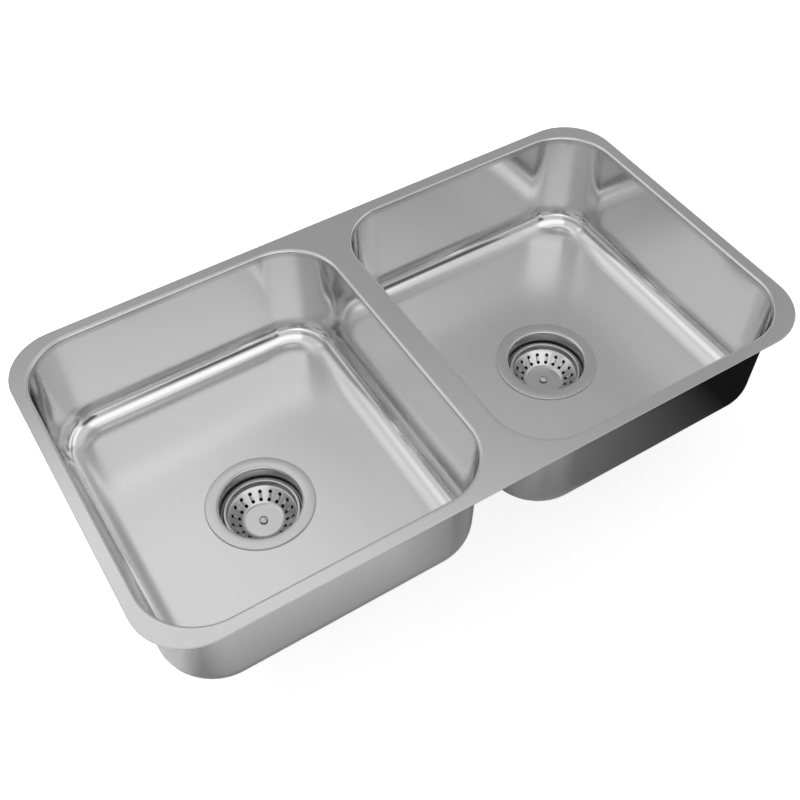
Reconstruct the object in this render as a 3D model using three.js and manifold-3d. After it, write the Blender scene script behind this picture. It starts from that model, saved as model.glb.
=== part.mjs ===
// Undermount double bowl kitchen sink with two basket strainers.
// Millimetres, +Z up. The origin is the middle of the divider's flat top face, +X runs along the rim to the
// right-hand bowl and +Y to the back.

import * as THREE from "three";
import { mergeVertices } from "three/addons/utils/BufferGeometryUtils.js";
import Module from "manifold-3d";

const wasm = await Module();
wasm.setup();

// ---------------------------------------------------------------- driving dimensions

// Bowls. The opening is measured between the vertical faces of the lips.
const openingLength = 334;
const openingWidth = 368;
const openingCornerRadius = 60;
const bowlDepth = 128;
const bowlSheet = 1.0;
const wallDraft = 3.0;
const filletReach = 30;
const filletHeight = 30;

// Rim. The flanges and the divider are measured from the same faces.
const dividerWidth = 28.4;
const sideFlangeWidth = 14.3;
const frontFlangeWidth = 15.0;
const rimCornerRadius = 58;
const rimSheet = 1.0;
const lipBendRadius = 3.0;
const lipDepth = 8.0;

// Strainer body and what clamps it. Heights are taken from the top of the bowl floor, and both drain holes
// stand off the middle of their bowl by the same amount.
const drainHoleDiameter = 89;
const drainForward = 13;
const drainToTheLeft = 8;
const flangeOverlap = 12.5;
const flangeEdgeRadius = 0.7;
const throatLipRadius = 3.0;
const strainerSheet = 1.0;
const cupDepth = 48;
const cupFloorMargin = 2.0;
const threadTail = 5.2;
const flangeSealThickness = 0.7;
const flangeSealWidth = 9.4;
const underGasketThickness = 3.0;
const underGasketOverlap = 13.5;
const frictionRingThickness = 0.8;
const frictionRingOverlap = 12;
const lockNutHeight = 12;
const lockNutWall = 6.7;
const lockNutFlangeWidth = 12.2;
const lockNutFlangeThickness = 3.0;
const lockNutLugs = 8;
const lockNutLugWidth = 7;

// Outlet
const outletBoreDiameter = 41;
const outletWall = 2.0;
const outletThreadDepth = 1.0;
const outletThreadPitch = 4.5;
const outletThreadTurns = 4;
const outletFlangeWidth = 5.5;
const outletFlangeThickness = 1.5;
const outletCollarWidth = 3.5;
const outletCollarThickness = 2.0;
const outletLength = 30;
const guideDepth = 12;
const guideHeight = 4;
const guideArmWidth = 3;
const guideHubWall = 2.7;

// Basket
const basketSheet = 0.7;
const basketRimDrop = 14.7;
const basketRimWidth = 2.8;
const basketSkirt = 2.7;
const basketWallHeight = 7.6;
const basketLedgeWidth = 1.4;
const basketConeRun = 13.9;
const basketDiscDrop = 34.7;
const basketHoles = 18;
const basketHoleDiameter = 3.0;
const basketPunchLength = 4.2;
const outerHoleShare = 0.25;
const innerHoleShare = 0.73;
const leftBasketTurn = 8.5;
const rightBasketTurn = 8.0;

// Knob, stem and stopper
const knobHeadDiameter = 9.0;
const knobHeadHeight = 3.0;
const knobRimHeight = 0.6;
const knobRimThickness = 0.7;
const knobDomeDiameter = 6.4;
const knobDomeHeight = 2.5;
const knobNeckDiameter = 6.4;
const knobNeckHeight = 1.0;
const stemDiameter = 6;
const spigotDiameter = 3.6;
const spigotLength = 3;
const stemCollarWidth = 3;
const stemCollarThickness = 1.5;
const stemTail = 4;
const stopperOverlap = 6;
const stopperThickness = 5;
const stopperChamfer = 1.5;
const stopperWasherWidth = 6;
const stopperWasherThickness = 1.0;
const stemNutWall = 1.7;
const stemNutHeight = 4;

// Clearances
const drainHoleGap = 1.0;
const basketGap = 2.5;
const fitGap = 0.3;
const cutOverrun = 1.0;

// Facets. A quarter step puts each basket hole in the middle of a flat facet.
const cornerFacets = 8;
const filletFacets = 8;
const bendFacets = 3;
const wideFacets = 36;
const ringFacets = 24;
const smallFacets = 12;
const basketFacets = basketHoles * 2;
const basketHoleFacets = 5;
const basketHolePhase = 0.25;
const edgeFacets = 2;

// ---------------------------------------------------------------- dimensions that follow

const rimLength = 2 * openingLength + dividerWidth + 2 * sideFlangeWidth;
const rimWidth = openingWidth + 2 * frontFlangeWidth;
const bowlCentreX = (openingLength + dividerWidth) / 2;

const drainHoleRadius = drainHoleDiameter / 2;
const bodyRadius = drainHoleRadius - drainHoleGap;
const throatRadius = bodyRadius - strainerSheet;
const flangeRadius = drainHoleRadius + flangeOverlap;
const flangeTop = flangeSealThickness + strainerSheet;
const clampRadius = (bodyRadius + fitGap) / Math.cos(Math.PI / ringFacets);
const gasketBottom = -bowlSheet - underGasketThickness;
const frictionRingBottom = gasketBottom - frictionRingThickness;
const lockNutBottom = frictionRingBottom - lockNutHeight;
const throatBottom = lockNutBottom - threadTail;

const outletBoreRadius = outletBoreDiameter / 2;
const outletRootRadius = outletBoreRadius + outletWall;
const outletRadius = outletRootRadius + outletThreadDepth;
const outletFlangeRadius = outletRadius + outletFlangeWidth;
const cupFloorRadius = outletFlangeRadius + cupFloorMargin;
const cupUnderside = -cupDepth - strainerSheet;
const outletSeat = outletFlangeThickness - cupDepth;
const outletEnd = cupUnderside - outletLength;
const guideTop = outletSeat - guideDepth;
const guideBottom = guideTop - guideHeight;

const basketRimRadius = throatRadius - basketGap;
const basketRimInner = basketRimRadius - basketRimWidth;
const basketRimTop = flangeTop - basketRimDrop;
const basketWallRadius = basketRimInner - basketSheet;
const basketWallBottom = basketRimTop - basketWallHeight;
const coneTopRadius = basketWallRadius - basketLedgeWidth;
const coneTop = basketWallBottom - basketSheet;
const coneBottomRadius = coneTopRadius - basketConeRun;
const discTop = flangeTop - basketDiscDrop;
const discUnderside = discTop - basketSheet;

const stemRadius = stemDiameter / 2;
const stemBoreRadius = stemRadius + fitGap;
const stemEnd = guideBottom - stemTail;
const spigotRadius = spigotDiameter / 2;
const spigotBoreRadius = spigotRadius + fitGap;
const stopperRadius = outletBoreRadius + stopperOverlap;
const stopperTop = outletSeat + stopperThickness;
const washerBottom = outletSeat - stopperWasherThickness;

// ---------------------------------------------------------------- materials

function steel(colour, roughness) {
  return new THREE.MeshStandardMaterial({ color: colour, roughness, metalness: 1.0 });
}

function dull(colour, roughness) {
  return new THREE.MeshStandardMaterial({ color: colour, roughness, metalness: 0.0 });
}

const finishes = {
  rim: () => steel(0xb9b9b7, 0.38),
  bowl: () => steel(0xb4b4b2, 0.3),
  strainer: () => steel(0xaeaeac, 0.26),
  basket: () => steel(0xb6b6b4, 0.22),
  outlet: () => steel(0x9d9c98, 0.42),
  hardware: () => steel(0xa8a7a2, 0.35),
  rubber: () => dull(0x2b2b2b, 0.85),
  fibre: () => dull(0xb59c74, 0.9),
  nut: () => dull(0x3a3b3d, 0.6),
};

// ---------------------------------------------------------------- geometry helpers

// A closed geometry as a solid for cutting and joining.
function solidOf(geometry) {
  const bare = geometry.clone();
  bare.deleteAttribute("normal");
  bare.deleteAttribute("uv");
  const merged = mergeVertices(bare, 1e-4);
  const triangles = [];
  const index = merged.index.array;
  for (let i = 0; i < index.length; i += 3) {
    const [a, b, c] = [index[i], index[i + 1], index[i + 2]];
    if (a !== b && b !== c && c !== a) triangles.push(a, b, c);
  }
  return new wasm.Manifold(
    new wasm.Mesh({
      numProp: 3,
      vertProperties: new Float32Array(merged.attributes.position.array),
      triVerts: new Uint32Array(triangles),
    }),
  );
}

function geometryOf(solid) {
  const mesh = solid.getMesh();
  const geometry = new THREE.BufferGeometry();
  geometry.setAttribute("position", new THREE.BufferAttribute(mesh.vertProperties, 3));
  geometry.setIndex(new THREE.BufferAttribute(mesh.triVerts, 1));
  geometry.computeVertexNormals();
  return geometry;
}

// A turned solid about +Z from [radius, height] pairs that go round the section anticlockwise.
function turned(section, facets) {
  const points = section.map(([radius, height]) => new THREE.Vector2(radius, height));
  const last = section[section.length - 1];
  const opensOnAxis = section[0][0] === 0 && last[0] === 0;
  if (!opensOnAxis) points.push(points[0].clone());
  return new THREE.LatheGeometry(points, facets).rotateX(Math.PI / 2);
}

// A flat ring with a square section.
function washer(innerRadius, outerRadius, bottom, top, facets) {
  return turned(
    [
      [innerRadius, bottom],
      [outerRadius, bottom],
      [outerRadius, top],
      [innerRadius, top],
    ],
    facets,
  );
}

// Points of a quarter round from one angle to another, in degrees.
function arc(centreR, centreZ, radius, fromDegrees, toDegrees, facets) {
  const points = [];
  for (let i = 0; i <= facets; i += 1) {
    const angle = THREE.MathUtils.degToRad(fromDegrees + ((toDegrees - fromDegrees) * i) / facets);
    points.push([centreR + radius * Math.cos(angle), centreZ + radius * Math.sin(angle)]);
  }
  return points;
}

// An anticlockwise rounded rectangle at one height.
function roundedRing(halfX, halfY, radius, z) {
  const ring = [];
  const corners = [
    [1, 1, 0],
    [-1, 1, 90],
    [-1, -1, 180],
    [1, -1, 270],
  ];
  for (const [sideX, sideY, start] of corners) {
    const centreX = sideX * (halfX - radius);
    const centreY = sideY * (halfY - radius);
    const corner = arc(centreX, centreY, radius, start, start + 90, cornerFacets);
    for (const [x, y] of corner) ring.push(new THREE.Vector3(x, y, z));
  }
  return ring;
}

// A ring that stands off the opening's outline by an offset, positive outwards.
function openingRing(offset, z) {
  const radius = Math.max(openingCornerRadius + offset, 1);
  return roundedRing(openingLength / 2 + offset, openingWidth / 2 + offset, radius, z);
}

// A solid through rings that go upwards, closed flat at both ends.
function lofted(rings) {
  const count = rings[0].length;
  const positions = [];
  const index = [];
  for (const ring of rings) for (const point of ring) positions.push(point.x, point.y, point.z);
  for (let k = 0; k + 1 < rings.length; k += 1) {
    for (let i = 0; i < count; i += 1) {
      const next = (i + 1) % count;
      const [a, b] = [k * count + i, k * count + next];
      const [c, d] = [(k + 1) * count + next, (k + 1) * count + i];
      index.push(a, b, c, a, c, d);
    }
  }
  const bottomCentre = positions.length / 3;
  const topCentre = bottomCentre + 1;
  const topRing = (rings.length - 1) * count;
  positions.push(0, 0, rings[0][0].z, 0, 0, rings[rings.length - 1][0].z);
  for (let i = 0; i < count; i += 1) {
    const next = (i + 1) % count;
    index.push(bottomCentre, next, i);
    index.push(topCentre, topRing + i, topRing + next);
  }
  const geometry = new THREE.BufferGeometry();
  geometry.setAttribute("position", new THREE.Float32BufferAttribute(positions, 3));
  geometry.setIndex(index);
  return geometry;
}

// A round bar along +Z.
function bar(radius, bottom, top, facets) {
  const geometry = new THREE.CylinderGeometry(radius, radius, top - bottom, facets);
  return geometry.rotateX(Math.PI / 2).translate(0, 0, (top + bottom) / 2);
}

function block(sizeX, sizeY, bottom, top) {
  return new THREE.BoxGeometry(sizeX, sizeY, top - bottom).translate(0, 0, (top + bottom) / 2);
}

// ---------------------------------------------------------------- rim and bowls

// What the lip round one opening fills, or, with no skin, what it leaves open.
function lipFunnel(skin, bottom, top) {
  const rings = [openingRing(skin, bottom)];
  for (const [offset, z] of arc(lipBendRadius, -lipBendRadius, lipBendRadius - skin, 180, 90, bendFacets)) {
    rings.push(openingRing(offset, z));
  }
  rings.push(openingRing(lipBendRadius, top));
  return lofted(rings);
}

function rimDeck() {
  const outline = roundedRing(rimLength / 2, rimWidth / 2, rimCornerRadius, 0);
  const shape = new THREE.Shape(outline.map((point) => new THREE.Vector2(point.x, point.y)));
  const plate = new THREE.ExtrudeGeometry(shape, { depth: rimSheet, bevelEnabled: false });
  let deck = solidOf(plate.translate(0, 0, -rimSheet));
  for (const side of [-1, 1]) {
    const lip = lipFunnel(rimSheet, -lipDepth, -rimSheet / 2);
    deck = deck.add(solidOf(lip.translate(side * bowlCentreX, 0, 0)));
  }
  for (const side of [-1, 1]) {
    const hollow = lipFunnel(0, -lipDepth - cutOverrun, cutOverrun);
    deck = deck.subtract(solidOf(hollow.translate(side * bowlCentreX, 0, 0)));
  }
  return geometryOf(deck);
}

// The bowl's inner or outer skin as a filled solid: straight drafted wall, then an elliptical fillet.
function bowlForm(skin, top) {
  const height = Math.min(filletHeight, bowlDepth - lipDepth);
  const reach = Math.min(filletReach, openingCornerRadius - wallDraft - 1);
  const rings = [];
  for (let i = filletFacets; i >= 0; i -= 1) {
    const angle = (Math.PI / 2) * (i / filletFacets);
    const inset = wallDraft + reach - (reach + skin) * Math.cos(angle);
    const z = -bowlDepth + height - (height + skin) * Math.sin(angle);
    rings.push(openingRing(-inset, z));
  }
  rings.push(openingRing(skin, -lipDepth));
  if (top > -lipDepth) rings.push(openingRing(skin, top));
  return lofted(rings);
}

function bowl() {
  const outside = solidOf(bowlForm(bowlSheet, -lipDepth));
  const inside = solidOf(bowlForm(0, -lipDepth + cutOverrun));
  const floorUnderside = -bowlDepth - bowlSheet;
  const hole = bar(drainHoleRadius, floorUnderside - cutOverrun, -bowlDepth + cutOverrun, wideFacets);
  hole.translate(-drainToTheLeft, -drainForward, 0);
  return geometryOf(outside.subtract(inside).subtract(solidOf(hole)));
}

// ---------------------------------------------------------------- strainer body and its clamp

function flangeSeal() {
  const innerRadius = throatRadius + throatLipRadius + fitGap;
  return washer(innerRadius, innerRadius + flangeSealWidth, 0, flangeSealThickness, ringFacets);
}

function strainerBody() {
  const lipCentre = throatRadius + throatLipRadius;
  const lipCentreZ = flangeTop - throatLipRadius;
  const edgeCentre = flangeRadius - flangeEdgeRadius;
  const edgeInner = flangeRadius - strainerSheet;
  const neckHole = outletRadius + fitGap;
  const section = [
    [neckHole, cupUnderside],
    [cupFloorRadius + strainerSheet / 2, cupUnderside],
    [bodyRadius, throatBottom - strainerSheet / 2],
    ...arc(lipCentre, lipCentreZ, throatLipRadius - strainerSheet, 180, 90, bendFacets),
    [edgeInner, flangeSealThickness],
    [edgeInner, fitGap],
    [flangeRadius, fitGap],
    ...arc(edgeCentre, flangeTop - flangeEdgeRadius, flangeEdgeRadius, 0, 90, edgeFacets),
    ...arc(lipCentre, lipCentreZ, throatLipRadius, 90, 180, bendFacets),
    [throatRadius, throatBottom],
    [cupFloorRadius, -cupDepth],
    [neckHole, -cupDepth],
  ];
  return turned(section, wideFacets);
}

// The outlet's thread is a stack of ridges, one for each turn, from its lower end upwards.
function outletThread() {
  const section = [];
  for (let i = 0; i < outletThreadTurns; i += 1) {
    section.push([outletRootRadius, outletEnd + i * outletThreadPitch]);
    section.push([outletRadius, outletEnd + (i + 0.5) * outletThreadPitch]);
  }
  section.push([outletRootRadius, outletEnd + outletThreadTurns * outletThreadPitch]);
  return section;
}

function outletNeck() {
  const collarBottom = cupUnderside - outletCollarThickness;
  const collarRadius = outletRadius + outletCollarWidth;
  const section = [
    [outletBoreRadius, outletEnd],
    ...outletThread(),
    [outletRootRadius, collarBottom],
    [collarRadius, collarBottom],
    [collarRadius, cupUnderside],
    [outletRadius, cupUnderside],
    [outletRadius, -cupDepth],
    [outletFlangeRadius, -cupDepth],
    [outletFlangeRadius, outletSeat],
    [outletBoreRadius, outletSeat],
  ];
  const armLength = outletBoreDiameter + outletWall;
  const hubRadius = stemBoreRadius + guideHubWall;
  let neck = solidOf(turned(section, ringFacets));
  neck = neck.add(solidOf(block(armLength, guideArmWidth, guideBottom, guideTop)));
  neck = neck.add(solidOf(block(guideArmWidth, armLength, guideBottom, guideTop)));
  neck = neck.add(solidOf(bar(hubRadius, guideBottom, guideTop, smallFacets)));
  const guideBore = bar(stemBoreRadius, guideBottom - cutOverrun, guideTop + cutOverrun, smallFacets);
  return geometryOf(neck.subtract(solidOf(guideBore)));
}

function underGasket() {
  return washer(clampRadius, drainHoleRadius + underGasketOverlap, gasketBottom, -bowlSheet, ringFacets);
}

function frictionRing() {
  const outerRadius = drainHoleRadius + frictionRingOverlap;
  return washer(clampRadius, outerRadius, frictionRingBottom, gasketBottom, ringFacets);
}

function lockNut() {
  const wallRadius = clampRadius + lockNutWall;
  const nutFlangeRadius = clampRadius + lockNutFlangeWidth;
  const flangeBottom = frictionRingBottom - lockNutFlangeThickness;
  const section = [
    [clampRadius, lockNutBottom],
    [wallRadius, lockNutBottom],
    [wallRadius, flangeBottom],
    [nutFlangeRadius, flangeBottom],
    [nutFlangeRadius, frictionRingBottom],
    [clampRadius, frictionRingBottom],
  ];
  const lugInner = wallRadius - cutOverrun;
  const lugOuter = nutFlangeRadius - cutOverrun;
  let nut = solidOf(turned(section, ringFacets));
  for (let i = 0; i < lockNutLugs; i += 1) {
    const lug = block(lugOuter - lugInner, lockNutLugWidth, lockNutBottom, flangeBottom + cutOverrun);
    lug.translate((lugOuter + lugInner) / 2, 0, 0);
    lug.rotateZ((2 * Math.PI * (i + 0.5)) / lockNutLugs);
    nut = nut.add(solidOf(lug));
  }
  return geometryOf(nut);
}

// ---------------------------------------------------------------- basket, stem and stopper

// A punch across the basket's cone, a share of the way down it.
function basketPunch(share) {
  const drop = coneTop - discTop;
  const reach = basketPunchLength / 2;
  const punch = bar(basketHoleDiameter / 2, -reach, reach, basketHoleFacets);
  punch.rotateY(-Math.atan2(drop, basketConeRun));
  const radius = coneTopRadius - share * basketConeRun;
  const height = coneTop - share * drop;
  return punch.translate(radius, 0, height - basketSheet / 2);
}

function basketCup() {
  const section = [
    [spigotBoreRadius, discUnderside],
    [coneBottomRadius + basketSheet / 2, discUnderside],
    [coneTopRadius + basketSheet / 2, coneTop - basketSheet],
    [basketRimInner, basketWallBottom - basketSheet],
    [basketRimInner, basketRimTop - basketSheet],
    [basketRimRadius - basketSheet, basketRimTop - basketSheet],
    [basketRimRadius - basketSheet, basketRimTop - basketSkirt],
    [basketRimRadius, basketRimTop - basketSkirt],
    [basketRimRadius, basketRimTop - basketSheet],
    [basketRimRadius - basketSheet, basketRimTop],
    [basketRimInner, basketRimTop],
    [basketWallRadius, basketRimTop - basketSheet],
    [basketWallRadius, basketWallBottom],
    [coneTopRadius, coneTop],
    [coneBottomRadius, discTop],
    [spigotBoreRadius, discTop],
  ];
  let cup = solidOf(turned(section, basketFacets));
  for (const share of [outerHoleShare, innerHoleShare]) {
    const punch = basketPunch(share);
    for (let i = 0; i < basketHoles; i += 1) {
      const angle = (2 * Math.PI * (i + basketHolePhase)) / basketHoles;
      cup = cup.subtract(solidOf(punch.clone().rotateZ(angle)));
    }
  }
  return geometryOf(cup);
}

function basketKnob() {
  const neckRadius = knobNeckDiameter / 2;
  const headRadius = knobHeadDiameter / 2;
  const headBottom = discTop + knobNeckHeight;
  const socketTop = discUnderside + spigotLength + fitGap;
  return turned(
    [
      [0, socketTop],
      [spigotBoreRadius, socketTop],
      [spigotBoreRadius, discTop],
      [neckRadius, discTop],
      [neckRadius, headBottom],
      [headRadius, headBottom + knobRimHeight],
      [headRadius, headBottom + knobRimHeight + knobRimThickness],
      [knobDomeDiameter / 2, headBottom + knobDomeHeight],
      [0, headBottom + knobHeadHeight],
    ],
    smallFacets,
  );
}

function basketStem() {
  const collarRadius = stemRadius + stemCollarWidth;
  const collarTop = stopperTop + stemCollarThickness;
  return turned(
    [
      [0, stemEnd],
      [stemRadius / 2, stemEnd],
      [stemRadius, stemEnd + stemRadius / 2],
      [stemRadius, stopperTop],
      [collarRadius, stopperTop],
      [collarRadius, collarTop],
      [stemRadius, collarTop],
      [stemRadius, discUnderside],
      [spigotRadius, discUnderside],
      [spigotRadius, discUnderside + spigotLength],
      [0, discUnderside + spigotLength],
    ],
    smallFacets,
  );
}

function stopperSeal() {
  return turned(
    [
      [stemBoreRadius, outletSeat],
      [stopperRadius - stopperChamfer, outletSeat],
      [stopperRadius, outletSeat + stopperChamfer],
      [stopperRadius, stopperTop - stopperChamfer],
      [stopperRadius - stopperChamfer, stopperTop],
      [stemBoreRadius, stopperTop],
    ],
    ringFacets,
  );
}

function stopperWasher() {
  return washer(stemBoreRadius, stemBoreRadius + stopperWasherWidth, washerBottom, outletSeat, smallFacets);
}

function stemNut() {
  const bottom = washerBottom - stemNutHeight;
  const cornerRadius = (stemBoreRadius + stemNutWall) / Math.cos(Math.PI / 6);
  const nut = solidOf(bar(cornerRadius, bottom, washerBottom, 6));
  const thread = bar(stemBoreRadius, bottom - cutOverrun, washerBottom + cutOverrun, smallFacets);
  return geometryOf(nut.subtract(solidOf(thread)));
}

// ---------------------------------------------------------------- assembly

function part(name, geometry, material) {
  const mesh = new THREE.Mesh(geometry, material);
  mesh.name = name;
  return mesh;
}

// One strainer. Its own zero is the middle of the drain hole at the top of the bowl floor.
function strainer(side, basketTurn) {
  const fixed = new THREE.Group();
  fixed.add(
    part(`${side}_flange_seal`, flangeSeal(), finishes.rubber()),
    part(`${side}_strainer_body`, strainerBody(), finishes.strainer()),
    part(`${side}_outlet_neck`, outletNeck(), finishes.outlet()),
    part(`${side}_under_gasket`, underGasket(), finishes.rubber()),
    part(`${side}_friction_ring`, frictionRing(), finishes.fibre()),
    part(`${side}_lock_nut`, lockNut(), finishes.nut()),
  );
  const lifting = new THREE.Group();
  lifting.rotation.z = THREE.MathUtils.degToRad(basketTurn);
  lifting.add(
    part(`${side}_basket_cup`, basketCup(), finishes.basket()),
    part(`${side}_basket_knob`, basketKnob(), finishes.basket()),
    part(`${side}_basket_stem`, basketStem(), finishes.hardware()),
    part(`${side}_stopper_seal`, stopperSeal(), finishes.rubber()),
    part(`${side}_stopper_washer`, stopperWasher(), finishes.hardware()),
    part(`${side}_stem_nut`, stemNut(), finishes.hardware()),
  );
  fixed.add(lifting);
  return fixed;
}

function sink() {
  const group = new THREE.Group();
  group.add(part("rim_deck", rimDeck(), finishes.rim()));
  const halves = [
    ["left", -bowlCentreX, leftBasketTurn],
    ["right", bowlCentreX, rightBasketTurn],
  ];
  for (const [side, centreX, basketTurn] of halves) {
    const shell = part(`${side}_bowl`, bowl(), finishes.bowl());
    shell.position.x = centreX;
    const drain = strainer(side, basketTurn);
    drain.position.set(centreX - drainToTheLeft, -drainForward, -bowlDepth);
    group.add(shell, drain);
  }
  return group;
}

export default sink();
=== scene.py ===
"""The looks of an undermount double bowl kitchen sink with a basket strainer in each bowl.

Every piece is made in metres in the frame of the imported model. The origin is the middle of the divider's top
face, +X runs along the rim to the right-hand bowl, +Y to the back and +Z up out of the bowls.
"""

import logging
import math
from collections.abc import Callable, Iterable, Sequence
from dataclasses import dataclass, replace
from enum import Enum

import bmesh
import bpy
from mathutils import Matrix, Vector


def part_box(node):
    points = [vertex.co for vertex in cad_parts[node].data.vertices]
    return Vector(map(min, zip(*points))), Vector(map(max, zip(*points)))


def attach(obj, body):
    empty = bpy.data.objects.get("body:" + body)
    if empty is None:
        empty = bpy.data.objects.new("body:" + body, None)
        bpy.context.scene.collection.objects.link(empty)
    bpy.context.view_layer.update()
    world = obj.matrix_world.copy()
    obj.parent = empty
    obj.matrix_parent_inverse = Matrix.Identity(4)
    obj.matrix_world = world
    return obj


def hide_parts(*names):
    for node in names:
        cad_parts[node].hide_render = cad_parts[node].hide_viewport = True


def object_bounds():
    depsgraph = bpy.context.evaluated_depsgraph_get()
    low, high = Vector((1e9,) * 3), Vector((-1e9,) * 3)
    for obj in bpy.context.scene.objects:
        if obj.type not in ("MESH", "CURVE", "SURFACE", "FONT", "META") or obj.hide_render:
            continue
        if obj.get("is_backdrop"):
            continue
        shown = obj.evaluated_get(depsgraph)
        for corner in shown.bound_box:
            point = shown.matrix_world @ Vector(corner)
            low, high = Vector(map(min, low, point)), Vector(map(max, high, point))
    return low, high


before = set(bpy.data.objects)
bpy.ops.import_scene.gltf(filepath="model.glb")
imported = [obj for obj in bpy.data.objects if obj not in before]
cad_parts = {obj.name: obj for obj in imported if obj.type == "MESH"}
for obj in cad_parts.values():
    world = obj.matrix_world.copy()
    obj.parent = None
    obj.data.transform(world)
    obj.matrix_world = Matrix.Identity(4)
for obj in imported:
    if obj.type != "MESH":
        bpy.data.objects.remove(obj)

LOG = logging.getLogger("kitchen_sink")

Point = tuple[float, float]
Section = list[Point]
Corner = tuple[float, float, float]
Place = tuple[float, float, float]
Colour = tuple[float, float, float]
Ring = list[Vector]
Loop = list[bmesh.types.BMVert]
Object = bpy.types.Object
Tree = bpy.types.NodeTree
Node = bpy.types.Node
Socket = bpy.types.NodeSocket

FLOAT, VECTOR = "NodeSocketFloat", "NodeSocketVector"

ROUND_STEPS = 96
SMALL_STEPS = 48
HUB_STEPS = 32
PUNCH_SIDES = 20
HEXAGON_SIDES = 6
CORNER_STEPS = 24
FILLET_STEPS = 28
BEND_STEPS = 8
FLANGE_STEPS = 6
EDGE_STEPS = 3
CREASE_ANGLE = math.radians(32)
MERGE_DISTANCE = 1e-7
WALL_TOLERANCE = 0.0002
# The length of a cubic curve's handles, as a share of the radius of the quarter circle that it follows.
CIRCLE_SHARE = 0.5523


class Side(Enum):
    """The two bowls, by the side of the divider that they are on."""

    LEFT = "left"
    RIGHT = "right"

    def node(self, name: str) -> str:
        """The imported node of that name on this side."""
        return f"{self.value}_{name}"


class Join(Enum):
    """How pieces are put together into one."""

    UNITE = "UNION"
    CUT = "DIFFERENCE"
    OVERLAP = "INTERSECT"


# ------------------------------------------------------------------------------------------- sections


def arc(centre: Point, radius: float, start: float, end: float, steps: int = BEND_STEPS) -> Section:
    """Points along a circular arc of a section.

    Args:
        centre: The arc's centre.
        radius: The arc's radius.
        start: The angle of the first point, in degrees.
        end: The angle of the last point, in degrees.
        steps: How many chords the arc has.

    Returns:
        The points from start to end, both included.
    """
    angles = [math.radians(start + (end - start) * i / steps) for i in range(steps + 1)]
    return [(centre[0] + radius * math.cos(a), centre[1] + radius * math.sin(a)) for a in angles]


def bezier(start: Point, leaving: Point, arriving: Point, end: Point, steps: int) -> Section:
    """Points along a cubic curve of a section.

    Args:
        start: The first point.
        leaving: The first point's handle.
        arriving: The last point's handle.
        end: The last point.
        steps: How many chords the curve has.

    Returns:
        The points from start to end, both included.
    """
    controls = [Vector(point) for point in (start, leaving, arriving, end)]
    points = []
    for i in range(steps + 1):
        t = i / steps
        shares = ((1 - t) ** 3, 3 * t * (1 - t) ** 2, 3 * t * t * (1 - t), t**3)
        point = sum((share * control for share, control in zip(shares, controls)), Vector((0, 0)))
        points.append((point.x, point.y))
    return points


def rounded(corners: Sequence[Corner], steps: int = 4) -> Section:
    """A closed section whose corners are cut back and rounded.

    Args:
        corners: Radius, height and cut-back of each corner, in order. A cut-back of 0 leaves it sharp.
        steps: How many chords a rounded corner gets.

    Returns:
        The points of the section.
    """
    points: Section = []
    for i, (radius, height, cut) in enumerate(corners):
        if not cut:
            points.append((radius, height))
            continue
        here = Vector((radius, height))
        before, after = (Vector(corners[k % len(corners)][:2]) - here for k in (i - 1, i + 1))
        first, last = here + before.normalized() * cut, here + after.normalized() * cut
        handles = first.lerp(here, CIRCLE_SHARE), last.lerp(here, CIRCLE_SHARE)
        points += bezier(first, *handles, last, steps)
    return points


def divided(section: Section, longest: float) -> Section:
    """A closed section with its long sides divided.

    Args:
        section: The section's points.
        longest: How long a side may be at most.

    Returns:
        The same outline with more points.
    """
    points: Section = []
    for i, corner in enumerate(section):
        here, there = Vector(corner), Vector(section[(i + 1) % len(section)])
        parts = max(1, math.ceil((there - here).length / longest))
        points += [tuple(here.lerp(there, k / parts)) for k in range(parts)]
    return points


def thickened(section: Section, thickness: float) -> Section:
    """The far face of a sheet whose near face is an open section.

    Args:
        section: The near face, from the top of a wall down to the floor inside it.
        thickness: The sheet's thickness.

    Returns:
        As many points, each that far from its own along the outward normal.
    """
    points = []
    for i, (radius, height) in enumerate(section):
        before, after = section[max(i - 1, 0)], section[min(i + 1, len(section) - 1)]
        along = Vector((after[0] - before[0], after[1] - before[1])).normalized()
        points.append((radius - along.y * thickness, height + along.x * thickness))
    return points


# --------------------------------------------------------------------------------------------- meshes


def placed(name: str, mesh: bpy.types.Mesh) -> Object:
    """Puts a mesh into the scene with smooth faces and sharp creases.

    Args:
        name: The piece's name.
        mesh: Its mesh, already in place.

    Returns:
        The new object, at the origin.
    """
    mesh.name = name
    mesh.shade_smooth()
    mesh.set_sharp_from_angle(angle=CREASE_ANGLE)
    piece = bpy.data.objects.new(name, mesh)
    bpy.context.scene.collection.objects.link(piece)
    return piece


def welded(name: str, work: bmesh.types.BMesh) -> Object:
    """Merges a working mesh's doubles, turns its faces outwards and places it.

    Args:
        name: The piece's name.
        work: The working mesh, which is freed.

    Returns:
        The new object.
    """
    bmesh.ops.remove_doubles(work, verts=work.verts, dist=MERGE_DISTANCE)
    bmesh.ops.recalc_face_normals(work, faces=work.faces)
    mesh = bpy.data.meshes.new(name)
    work.to_mesh(mesh)
    work.free()
    return placed(name, mesh)


def strip(work: bmesh.types.BMesh, rings: Sequence[Ring], closed: bool = False) -> list[Loop]:
    """Adds the skin through rings of equal length.

    Args:
        work: The working mesh.
        rings: The rings, in order.
        closed: Whether the last ring is joined to the first.

    Returns:
        The vertices of each ring.
    """
    loops = [[work.verts.new(point) for point in ring] for ring in rings]
    pairs = list(zip(loops, loops[1:]))
    if closed:
        pairs.append((loops[-1], loops[0]))
    for low, high in pairs:
        for i in range(len(low)):
            k = (i + 1) % len(low)
            work.faces.new((low[i], low[k], high[k], high[i]))
    return loops


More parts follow.
